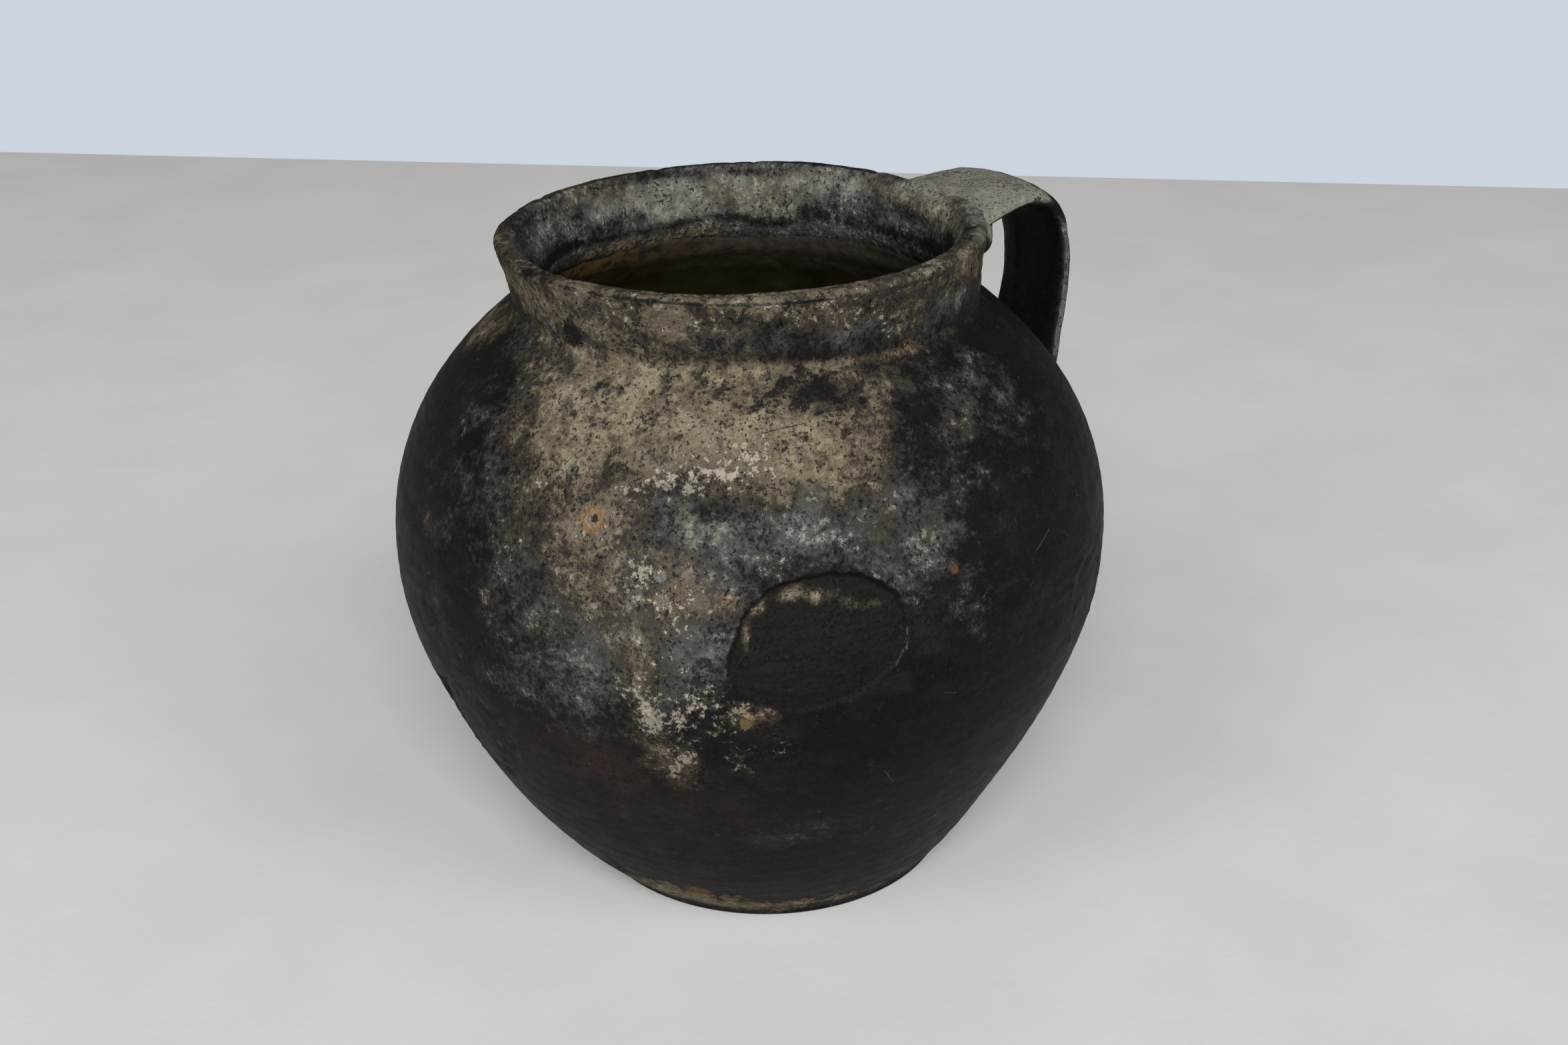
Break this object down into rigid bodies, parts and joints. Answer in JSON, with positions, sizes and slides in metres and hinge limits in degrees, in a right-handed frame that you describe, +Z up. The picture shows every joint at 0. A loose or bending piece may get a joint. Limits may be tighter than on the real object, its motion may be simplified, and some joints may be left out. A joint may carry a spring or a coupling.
{
  "type": "ceramic pot",
  "caption": "Round-bellied earthenware pot with a narrow foot, short upright neck, wide mouth, glazed inside and a strap handle from rim to shoulder.",
  "frame": {"origin": "on the belly's axis, in the plane that the foot stands on", "axes": "+Z up through the mouth, +X from the axis towards the handle"},
  "size_m": [0.2019, 0.2002, 0.1888],
  "materials": {
    "smoked_clay": "smoked black with ash and crust, satin to matt",
    "strap_clay": "smoked grey-brown, matt",
    "luting_clay": "smoked grey-brown, rough",
    "olive_glaze": "dark olive to amber lead glaze, glossy"
  },
  "bodies": {
    "root": {"pot_body": "smoked_clay", "glaze_lining": "olive_glaze", "strap_handle": "strap_clay", "upper_luting": "luting_clay", "lower_luting": "luting_clay"}
  },
  "joints": []
}
